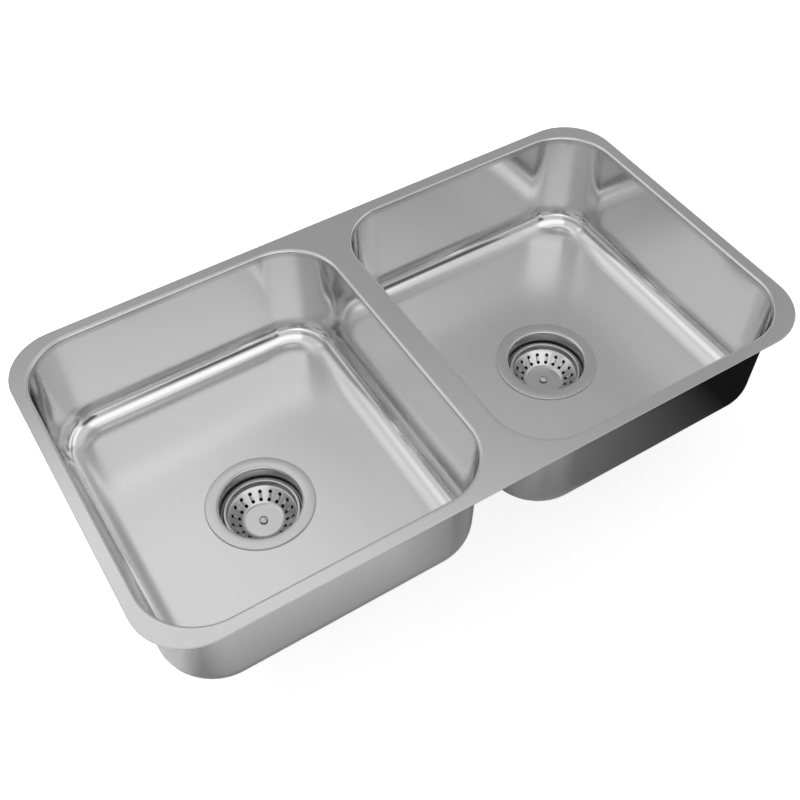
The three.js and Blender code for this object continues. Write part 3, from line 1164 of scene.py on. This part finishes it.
    def ring(self, name: str, finish: Finish, inner: float, outer: float, bottom: float, top: float) -> None:
        """Makes a flat ring with soft edges.

        Args:
            name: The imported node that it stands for, without its side.
            finish: Its finish.
            inner: Its inner radius.
            outer: Its outer radius.
            bottom: The height of its underside.
            top: The height of its top.
        """
        soft = min(top - bottom, outer - inner) / 4
        corners = [(inner, bottom, soft), (outer, bottom, soft), (outer, top, soft), (inner, top, soft)]
        node = self.side.node(name)
        dress(turned(f"{node}_piece", rounded(corners, EDGE_STEPS), self.centre), finish, "sink", node)

    def build_clamp(self) -> None:
        """Makes the seals, the slip ring and the nut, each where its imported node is."""
        for name, finish in (
            ("flange_seal", self.rubber),
            ("under_gasket", self.rubber),
            ("friction_ring", self.fibre),
        ):
            bottom, top, outer = packed_span(self.side.node(name), self.centre)
            inner = self.throat_radius + (self.throat_lip if name == "flange_seal" else self.sheet) + self.gap
            self.ring(name, finish, inner, outer, bottom, top)
        self.build_nut()

    def build_nut(self) -> None:
        """Makes the large plastic nut with its lugs."""
        bottom, top, flange = packed_span(self.side.node("lock_nut"), self.centre)
        bore = self.throat_radius + self.sheet + 2 * self.gap
        wall, shelf = bore + self.nut_wall, top - self.nut_shelf
        corners = [
            (bore, bottom, 0.0006),
            (wall, bottom, 0.0008),
            (wall, shelf, 0.0008),
            (flange, shelf, 0.0006),
            (flange, top, 0.0004),
            (bore, top, 0.0004),
        ]
        lug = Vector((flange - wall, self.lug_width, shelf - bottom + self.lug_overlap))
        middle = self.centre + Vector((0, 0, bottom + lug.z / 2))
        nut = turned(self.side.node("clamp_nut"), rounded(corners), self.centre)
        whole = grown(
            nut,
            made_once("lugs", lugs_tree),
            Count=self.lug_count,
            Turn=0.0,
            Centre=middle,
            Radius=(wall + flange) / 2 - self.lug_root,
            Lug_Size=lug,
            Finish=self.plastic.material(),
        )
        dress(whole, self.plastic, "sink", self.side.node("lock_nut"))


@dataclass(frozen=True)
class Basket:
    """The lift-out half of a strainer: the perforated basket, its knob and stem, and the stopper under it.

    Heights are measured as in the strainer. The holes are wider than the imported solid's and the grooves are
    in the scene alone. The play is a hair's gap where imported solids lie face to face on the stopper.
    """

    side: Side
    centre: Vector
    turn: float
    steel: Finish
    hardware: Finish
    rubber: Finish
    sheet: float = 0.0007
    rim_radius: float = 0.040
    rim_inner: float = 0.0372
    rim_top: float = -0.0130
    skirt: float = 0.0027
    wall_height: float = 0.0076
    cone_radius: float = 0.0351
    cone_foot: float = 0.0212
    disc_top: float = -0.0330
    hole_count: int = 18
    hole_radius: float = 0.0020
    outer_share: float = 0.25
    inner_share: float = 0.73
    groove_depth: float = 0.0009
    groove_width: float = 0.0011
    steps_per_hole: int = 16
    longest_facet: float = 0.0008
    punch_sheets: int = 6
    knob_radius: float = 0.0045
    knob_neck: float = 0.0032
    knob_neck_height: float = 0.0010
    knob_edge_height: float = 0.0009
    knob_undercut: float = 0.0002
    knob_height: float = 0.0040
    dome_rise: float = 0.0012
    dome_share: float = 0.55
    dome_steps: int = 10
    stem_radius: float = 0.003
    spigot_radius: float = 0.0018
    spigot_length: float = 0.003
    collar_height: float = 0.0015
    nut_ease: float = 0.0005
    seal_soft: float = 0.0014
    washer_soft: float = 0.0002
    gap: float = 0.0003
    play: float = 0.00003

    @property
    def cone_top(self) -> float:
        """The height of the cone's upper edge."""
        return self.rim_top - self.wall_height - self.sheet

    @property
    def slope(self) -> float:
        """How steeply the cone falls towards the middle."""
        return math.atan2(self.cone_top - self.disc_top, self.cone_radius - self.cone_foot)

    def body(self, name: str) -> str:
        """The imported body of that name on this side."""
        return self.side.node(name)

    def build(self) -> None:
        """Makes every piece that lifts out."""
        self.build_cup()
        self.build_knob()
        self.build_stem()
        self.build_stopper()

    def build_cup(self) -> None:
        """Makes the stepped basket with its two rings of holes and the grooves between them."""
        under, wall = self.disc_top - self.sheet, self.rim_inner - self.sheet
        wall_foot, half = self.rim_top - self.wall_height, self.sheet / 2
        inner_edge, skirt_foot = self.rim_radius - self.sheet, self.rim_top - self.skirt
        corners = [
            (self.spigot_radius + self.gap, under, 0),
            (self.cone_foot + half, under, 0.0016),
            (self.cone_radius + half, self.cone_top - self.sheet, 0.0008),
            (self.rim_inner, wall_foot - self.sheet, 0.0007),
            (self.rim_inner, self.rim_top - self.sheet, 0.0006),
            (inner_edge, self.rim_top - self.sheet, 0.0003),
            (inner_edge, skirt_foot, 0),
            (self.rim_radius, skirt_foot, 0),
            (self.rim_radius, self.rim_top, 0.0010),
            (wall, self.rim_top, 0.0013),
            (wall, wall_foot, 0.0009),
            (self.cone_radius, self.cone_top, 0.0010),
            (self.cone_foot, self.disc_top, 0.0020),
            (self.spigot_radius + self.gap, self.disc_top, 0),
        ]
        section = divided(rounded(corners), self.longest_facet)
        shell = turned(self.side.node("basket"), section, self.centre, self.hole_count * self.steps_per_hole)
        self.press_grooves(shell)
        for share in (self.outer_share, self.inner_share):
            shell = self.perforated(shell, share)
        dress(shell, self.steel, self.body("basket"), self.side.node("basket_cup"))

    def press_grooves(self, shell: Object) -> None:
        """Presses a shallow groove down the cone between each outer hole and the inner one below it.

        Args:
            shell: The turned basket, before its holes are cut.
        """
        fall = self.cone_radius - self.cone_foot
        high, low = (self.cone_radius - share * fall for share in (self.outer_share, self.inner_share))
        step = math.tau / self.hole_count
        for vertex in shell.data.vertices:
            from_axis = vertex.co - self.centre
            radius = from_axis.xy.length
            if not low < radius < high or from_axis.z > self.cone_top:
                continue
            bearing = (math.atan2(from_axis.y, from_axis.x) - self.turn) % step
            aside = min(bearing, step - bearing) * radius
            vertex.co.z -= self.groove_depth * math.exp(-((aside / self.groove_width) ** 2))
        shell.data.update()

    def perforated(self, shell: Object, share: float) -> Object:
        """Cuts a ring of holes.

        Args:
            shell: The basket so far, which is used up.
            share: How far down the cone the ring lies, from 0 to 1.

        Returns:
            The basket with that ring.
        """
        radius = self.cone_radius - share * (self.cone_radius - self.cone_foot)
        height = self.cone_top - share * (self.cone_top - self.disc_top) - self.sheet / 2
        return grown(
            shell,
            made_once("perforations", perforations_tree),
            Count=self.hole_count,
            Turn=self.turn,
            Centre=self.centre + Vector((0, 0, height)),
            Ring_Radius=radius,
            Hole_Radius=self.hole_radius,
            Punch_Length=self.punch_sheets * self.sheet,
            Slope=self.slope,
            Finish=self.steel.material(),
        )

    def build_knob(self) -> None:
        """Makes the small domed knob."""
        base, top = self.disc_top, self.disc_top + self.knob_height
        head = base + self.knob_neck_height
        shoulder = head + self.knob_edge_height
        socket = self.spigot_radius + self.gap
        socket_top = base - self.sheet + self.spigot_length + self.gap
        under = rounded(
            [
                (0, socket_top, 0),
                (socket, socket_top, 0),
                (socket, base, 0),
                (self.knob_neck, base, 0),
                (self.knob_neck, head, 0.0003),
                (self.knob_radius, head + self.knob_undercut, 0.0003),
                (self.knob_radius, shoulder, 0),
            ]
        )
        handles = (self.knob_radius, shoulder + self.dome_rise), (self.knob_radius * self.dome_share, top)
        dome = bezier((self.knob_radius, shoulder), *handles, (0, top), self.dome_steps)
        piece = turned(self.side.node("knob"), under + dome[1:], self.centre, SMALL_STEPS)
        dress(piece, self.steel, self.body("basket"), self.side.node("basket_knob"))

    def build_stem(self) -> None:
        """Makes the stem with its collar, and the nut that holds the stopper on it."""
        bottom, _, _ = packed_span(self.side.node("basket_stem"), self.centre)
        _, seal_top, _ = packed_span(self.side.node("stopper_seal"), self.centre)
        collar, under = seal_top + self.play, self.disc_top - self.sheet
        corners = [
            (0, bottom, 0),
            (self.stem_radius, bottom, 0.0012),
            (self.stem_radius, collar, 0),
            (2 * self.stem_radius, collar, 0.0002),
            (2 * self.stem_radius, collar + self.collar_height, 0.0004),
            (self.stem_radius, collar + self.collar_height, 0.0003),
            (self.stem_radius, under, 0),
            (self.spigot_radius, under, 0),
            (self.spigot_radius, under + self.spigot_length, 0.0003),
            (0, under + self.spigot_length, 0),
        ]
        piece = turned(self.side.node("stem"), rounded(corners), self.centre, SMALL_STEPS)
        dress(piece, self.hardware, self.body("basket"), self.side.node("basket_stem"))
        self.build_stem_nut()

    def build_stem_nut(self) -> None:
        """Makes the hexagon nut with its corners eased at both ends."""
        bottom, packed_top, corner = packed_span(self.side.node("stem_nut"), self.centre)
        top, bore, ease = packed_top - self.play, self.stem_radius + self.gap, self.nut_ease
        ring = [(bore, bottom), (corner, bottom), (corner, top), (bore, top)]
        hexagon = turned(self.side.node("hexagon_nut"), ring, self.centre, HEXAGON_SIDES)
        lower = [(0, bottom), (corner - ease, bottom), (corner, bottom + ease)]
        upper = [(corner, top - ease), (corner - ease, top), (0, top)]
        eased = turned("eased", lower + upper, self.centre)
        nut = combined(hexagon, [eased], Join.OVERLAP)
        dress(nut, self.hardware, self.body("basket"), self.side.node("stem_nut"))

    def build_stopper(self) -> None:
        """Makes the rubber stopper and its washer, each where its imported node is."""
        bore = self.stem_radius + self.gap
        for name, finish, soft in (
            ("stopper_seal", self.rubber, self.seal_soft),
            ("stopper_washer", self.hardware, self.washer_soft),
        ):
            bottom, top, outer = packed_span(self.side.node(name), self.centre)
            corners = [(bore, bottom, 0), (outer, bottom, soft), (outer, top, soft), (bore, top, 0)]
            piece = turned(self.side.node(f"{name}_piece"), rounded(corners), self.centre)
            dress(piece, finish, self.body("stopper"), self.side.node(name))


# --------------------------------------------------------------------------------------------- studio


@dataclass(frozen=True)
class Camera:
    """A camera that looks at a point from a bearing, a height and a distance."""

    target: Place = (-0.0510, -0.0632, 0.0)
    azimuth: float = -31.17
    elevation: float = 50.66
    roll: float = -0.77
    distance: float = 1.0492
    lens: float = 49.68

    def place(self) -> None:
        """Makes the scene's camera."""
        turn, rise = math.radians(self.azimuth), math.radians(self.elevation)
        back = Vector((math.sin(turn) * math.cos(rise), -math.cos(turn) * math.cos(rise), math.sin(rise)))
        data = bpy.data.cameras.new("camera")
        data.lens = self.lens
        camera = bpy.data.objects.new("camera", data)
        camera.location = Vector(self.target) + back * self.distance
        facing = (-back).to_track_quat("-Z", "Y").to_matrix()
        camera.rotation_euler = (facing @ Matrix.Rotation(math.radians(self.roll), 3, "Z")).to_euler()
        bpy.context.scene.collection.objects.link(camera)
        bpy.context.scene.camera = camera


@dataclass(frozen=True)
class Lamp:
    """A soft square lamp that lights the floor and every dull face."""

    name: str
    place: Place
    aim: Place
    size: float
    power: float

    def hang(self) -> None:
        """Makes the lamp, which shows neither to the camera nor in the steel."""
        data = bpy.data.lights.new(self.name, "AREA")
        data.size, data.energy = self.size, self.power
        lamp = bpy.data.objects.new(self.name, data)
        lamp.location = self.place
        facing = Vector(self.aim) - Vector(self.place)
        lamp.rotation_euler = facing.to_track_quat("-Z", "Y").to_euler()
        lamp.visible_camera = lamp.visible_glossy = False
        bpy.context.scene.collection.objects.link(lamp)


def soft_marks(low: float, high: float, soft: float, step: float) -> list[float]:
    """The grid lines of a soft-edged sheet.

    Args:
        low: Where its first edge is.
        high: Where its last edge is.
        soft: How wide the soft part is at each edge.
        step: About how far apart the lines between the soft parts are.

    Returns:
        The lines' places in order, the edges included.
    """
    inner = [low + soft, high - soft]
    count = max(1, round((inner[1] - inner[0]) / step))
    return [low, *(inner[0] + (inner[1] - inner[0]) * i / count for i in range(count + 1)), high]


def glow(name: str, level: float) -> bpy.types.Material:
    """A glowing material that is clear where its mesh's cover is 0.

    Args:
        name: Its name.
        level: How bright it is, where 1 is white.

    Returns:
        The new material.
    """
    made = bpy.data.materials.new(name)
    graph = blank_graph(made)
    cover = graph.add("ShaderNodeAttribute", attribute_name="cover").outputs["Fac"]
    clear = graph.add("ShaderNodeBsdfTransparent")
    light = graph.add("ShaderNodeEmission", {"Strength": level})
    both = graph.add("ShaderNodeMixShader", {0: cover, 1: clear.outputs[0], 2: light.outputs[0]})
    graph.add("ShaderNodeOutputMaterial", {"Surface": both.outputs[0]})
    return made


def soft_sheet(
    name: str,
    rows: list[float],
    columns: list[float],
    spot: Callable[[float, float], Place],
    level: float,
) -> None:
    """Makes a glowing sheet that fades out at its edges and only shows in steel.

    Args:
        name: Its name.
        rows: Its grid lines one way, the first and the last being its edges.
        columns: Its grid lines the other way.
        spot: Gives the point at a row and a column.
        level: How bright it is, where 1 is white.
    """
    crossings = [(row, column) for row in rows for column in columns]
    inside = [float(row in rows[1:-1] and column in columns[1:-1]) for row, column in crossings]
    wide = len(columns)
    starts = (row * wide + column for row in range(len(rows) - 1) for column in range(wide - 1))
    mesh = bpy.data.meshes.new(name)
    faces = [(i, i + 1, i + wide + 1, i + wide) for i in starts]
    mesh.from_pydata([spot(*crossing) for crossing in crossings], [], faces)
    cover = mesh.attributes.new("cover", "FLOAT", "POINT")
    cover.data.foreach_set("value", inside)
    mesh.materials.append(glow(name, level))
    sheet = bpy.data.objects.new(name, mesh)
    sheet.visible_camera = sheet.visible_diffuse = sheet.visible_shadow = False
    bpy.context.scene.collection.objects.link(sheet)
    sheet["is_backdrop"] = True


@dataclass(frozen=True)
class Card:
    """A bright or dark card bent round the object.

    Bearings go clockwise from the back and heights up from the level, both in degrees. Where two cards
    overlap, the nearer one shows.
    """

    name: str
    bearings: tuple[float, float]
    heights: tuple[float, float]
    level: float
    softness: float = 6.0
    distance: float = 4.0
    step: float = 6.0

    def spot(self, height: float, bearing: float) -> Place:
        """The point of the card at a height and a bearing.

        Args:
            height: The height, in degrees.
            bearing: The bearing, in degrees.

        Returns:
            The point, in metres.
        """
        rise, turn = math.radians(height), math.radians(bearing)
        level = math.cos(rise) * self.distance
        return level * math.sin(turn), level * math.cos(turn), math.sin(rise) * self.distance

    def place(self) -> None:
        """Makes the card."""
        rows = soft_marks(*self.heights, self.softness, self.step)
        columns = soft_marks(*self.bearings, self.softness, self.step)
        soft_sheet(self.name, rows, columns, self.spot, self.level)


@dataclass(frozen=True)
class FloorCard:
    """A card flat on the floor that shows only in the steel: a painted reflection of floor light or of shadow.
    """

    name: str
    along_x: tuple[float, float]
    along_y: tuple[float, float]
    level: float
    soft_x: float
    soft_y: float
    lift: float = 0.001
    step: float = 0.1

    def place(self) -> None:
        """Makes the card just over the floor."""
        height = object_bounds()[0].z + self.lift
        columns = soft_marks(*self.along_x, self.soft_x, self.step)
        rows = soft_marks(*self.along_y, self.soft_y, self.step)
        soft_sheet(self.name, rows, columns, lambda y, x: (x, y, height), self.level)


@dataclass(frozen=True)
class Studio:
    """A plain pale floor, lamps, cards and a white surround."""

    lamps: tuple[Lamp, ...]
    cards: tuple[Card | FloorCard, ...]
    floor_tone: float = 0.9
    floor_glow: float = 0.78
    mirrored: float = 0.8
    fill: float = 0.28
    floor_half: float = 6.0

    def build(self) -> None:
        """Makes the floor, the surround, the lamps and the cards."""
        self.lay_floor()
        self.surround()
        for lamp in self.lamps:
            lamp.hang()
        for card in self.cards:
            card.place()

    def lay_floor(self) -> None:
        """Lays the floor under the lowest point of the object."""
        low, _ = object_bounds()
        half = self.floor_half
        mesh = bpy.data.meshes.new("floor")
        corners = ((-half, -half), (half, -half), (half, half), (-half, half))
        mesh.from_pydata([(x, y, low.z) for x, y in corners], [], [(0, 1, 2, 3)])
        floor = bpy.data.objects.new("floor", mesh)
        bpy.context.scene.collection.objects.link(floor)
        mesh.materials.append(self.floor_paint())
        floor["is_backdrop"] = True

    def floor_paint(self) -> bpy.types.Material:
        """The floor's material, which is lighter to the camera than the light on it makes it.

        Returns:
            The new material.
        """
        made = bpy.data.materials.new("pale_floor")
        graph = blank_graph(made)
        seen = graph.add("ShaderNodeLightPath").outputs["Is Camera Ray"]
        paint = graph.add("ShaderNodeBsdfDiffuse", {"Color": (self.floor_tone,) * 3 + (1,)})
        light = graph.math("MULTIPLY", seen, self.floor_glow)
        lit = graph.add("ShaderNodeEmission", {"Strength": light})
        both = graph.add("ShaderNodeAddShader", {0: paint.outputs[0], 1: lit.outputs[0]})
        graph.add("ShaderNodeOutputMaterial", {"Surface": both.outputs[0]})
        return made

    def surround(self) -> None:
        """Makes the world white to the camera, pale in metal, and an even fill light elsewhere."""
        world = bpy.data.worlds.new("surround")
        bpy.context.scene.world = world
        graph = blank_graph(world)
        path = graph.add("ShaderNodeLightPath").outputs
        bounced = graph.math("MAXIMUM", path["Is Glossy Ray"], path["Is Transmission Ray"])
        dimmed = graph.math("MAXIMUM", graph.math("MULTIPLY", bounced, self.mirrored), self.fill)
        strength = graph.math("MAXIMUM", path["Is Camera Ray"], dimmed)
        light = graph.add("ShaderNodeBackground", {"Color": (1, 1, 1, 1), "Strength": strength})
        graph.add("ShaderNodeOutputWorld", {"Surface": light.outputs[0]})


# ----------------------------------------------------------------------------------------------- main

LAMPS = (
    Lamp("high_lamp", place=(-1.1, 1.4, 2.4), aim=(0.0, 0.0, 0.0), size=2.2, power=60.0),
)
# Each card's name, its bearings, its heights and its level. A floor card has its spans along X and Y instead,
# then its level and the width of its soft edges.
CARDS = (
    Card("overhead_light", (0.0, 360.0), (62.0, 89.0), 1.25, distance=4.3),
    Card("overhead_gap", (0.0, 360.0), (71.0, 85.0), 0.3, softness=4.0),
    Card("back_shade", (-22.0, 80.0), (22.0, 60.0), 0.42, softness=10.0),
    Card("back_left_light", (-32.0, 30.0), (48.0, 66.0), 1.0, distance=3.9),
    Card("front_light", (140.0, 240.0), (36.0, 64.0), 1.45, distance=4.2),
    Card("right_light", (92.0, 146.0), (34.0, 60.0), 0.85, softness=5.0),
    Card("high_right_shade", (60.0, 150.0), (57.0, 78.0), 0.4, distance=4.1),
    Card("low_front_light", (85.0, 136.0), (16.0, 33.0), 1.4, softness=4.0, distance=4.1),
    Card("front_gap", (137.0, 177.0), (16.0, 35.0), 0.1, softness=5.0, distance=3.9),
    Card("left_shade", (226.0, 298.0), (22.0, 41.0), 0.4, softness=8.0, distance=4.1),
    Card("left_light", (286.0, 319.0), (30.0, 56.0), 1.2, softness=5.0),
    Card("left_corner_light", (-24.0, 16.0), (47.0, 59.0), 1.35, softness=5.0, distance=3.8),
    Card("low_right_shade", (55.0, 150.0), (0.0, 14.0), 0.3, softness=5.0),
    Card("low_left_light", (165.0, 300.0), (9.0, 20.0), 2.2, softness=4.0, distance=3.8),
    # The floor cards paint the floor's light, and the sink's shadow and contact shade on it, into the steel's
    # reflections.
    FloorCard("floor_shade", (0.06, 0.90), (-0.60, -0.08), 0.01, 0.30, 0.04),
    FloorCard("floor_light", (-0.55, 0.02), (-0.60, -0.19), 0.62, 0.10, 0.01),
    FloorCard("contact_shade", (-0.42, 0.16), (-0.275, -0.10), 0.28, 0.05, 0.075, lift=0.002),
)

# Each finish's name, its slot, its colour and its roughness.
RIM = BrushedFinish("satin_rim", "rim_steel", (0.62, 0.62, 0.62), 0.24)
BOWL = BowlFinish(
    "satin_bowl",
    "bowl_steel",
    (0.67, 0.67, 0.67),
    0.12,
    tone_spread=0.02,
    gloss_spread=0.02,
    grain_height=0.0000015,
)
OUTLET = BrushedFinish("machined_outlet", "outlet_metal", (0.52, 0.52, 0.50), 0.36)
HARDWARE = BrushedFinish("bright_hardware", "hardware_steel", (0.58, 0.58, 0.56), 0.30)
RUBBER = GrainedFinish(
    "black_rubber",
    "black_rubber",
    (0.028, 0.028, 0.028),
    0.75,
    tone_spread=0.15,
    gloss_spread=0.1,
    grain_height=0.00004,
)
FIBRE = GrainedFinish(
    "pressed_fibre",
    "fibre",
    (0.44, 0.34, 0.20),
    0.85,
    tone_spread=0.2,
    gloss_spread=0.05,
    grain_height=0.0001,
    lines=600.0,
)
PLASTIC = GrainedFinish(
    "moulded_nut",
    "nut_plastic",
    (0.045, 0.046, 0.05),
    0.48,
    tone_spread=0.1,
    gloss_spread=0.08,
    grain_height=0.00003,
)
# The strainer's steel gets painted shade: its colour darkens down the throat to 0.55 of its tone.
SPUN = TurnedFinish("spun_strainer", "strainer_steel", (0.58, 0.58, 0.58), 0.26, depth_shade=0.55)
BRIGHT = TurnedFinish("bright_basket", "basket_steel", (0.57, 0.57, 0.57), 0.24)
BASKET_TURNS = {Side.LEFT: math.radians(8.5), Side.RIGHT: math.radians(8.0)}


def main() -> None:
    """Builds the sink, piece by piece, and then the studio round it."""
    logging.basicConfig(level=logging.INFO, format="%(name)s %(message)s")
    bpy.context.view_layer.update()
    openings = {side: Opening.on(side) for side in Side}
    RimDeck(tuple(openings.values()), RIM).build()
    for side, opening in openings.items():
        low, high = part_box(side.node("strainer_body"))
        centre = Vector(((low.x + high.x) / 2, (low.y + high.y) / 2, -opening.depth))
        Bowl(side, opening, centre, replace(BOWL, floor=-opening.depth)).build()
        spun, bright = (
            replace(finish, name=side.node(finish.name), centre=tuple(centre)) for finish in (SPUN, BRIGHT)
        )
        Strainer(side, centre, spun, OUTLET, RUBBER, FIBRE, PLASTIC).build()
        Basket(side, centre, BASKET_TURNS[side], bright, HARDWARE, RUBBER).build()
    Studio(LAMPS, CARDS).build()
    Camera().place()
    bpy.context.scene.view_settings.view_transform = "Standard"


if __name__ == "__main__":
    main()
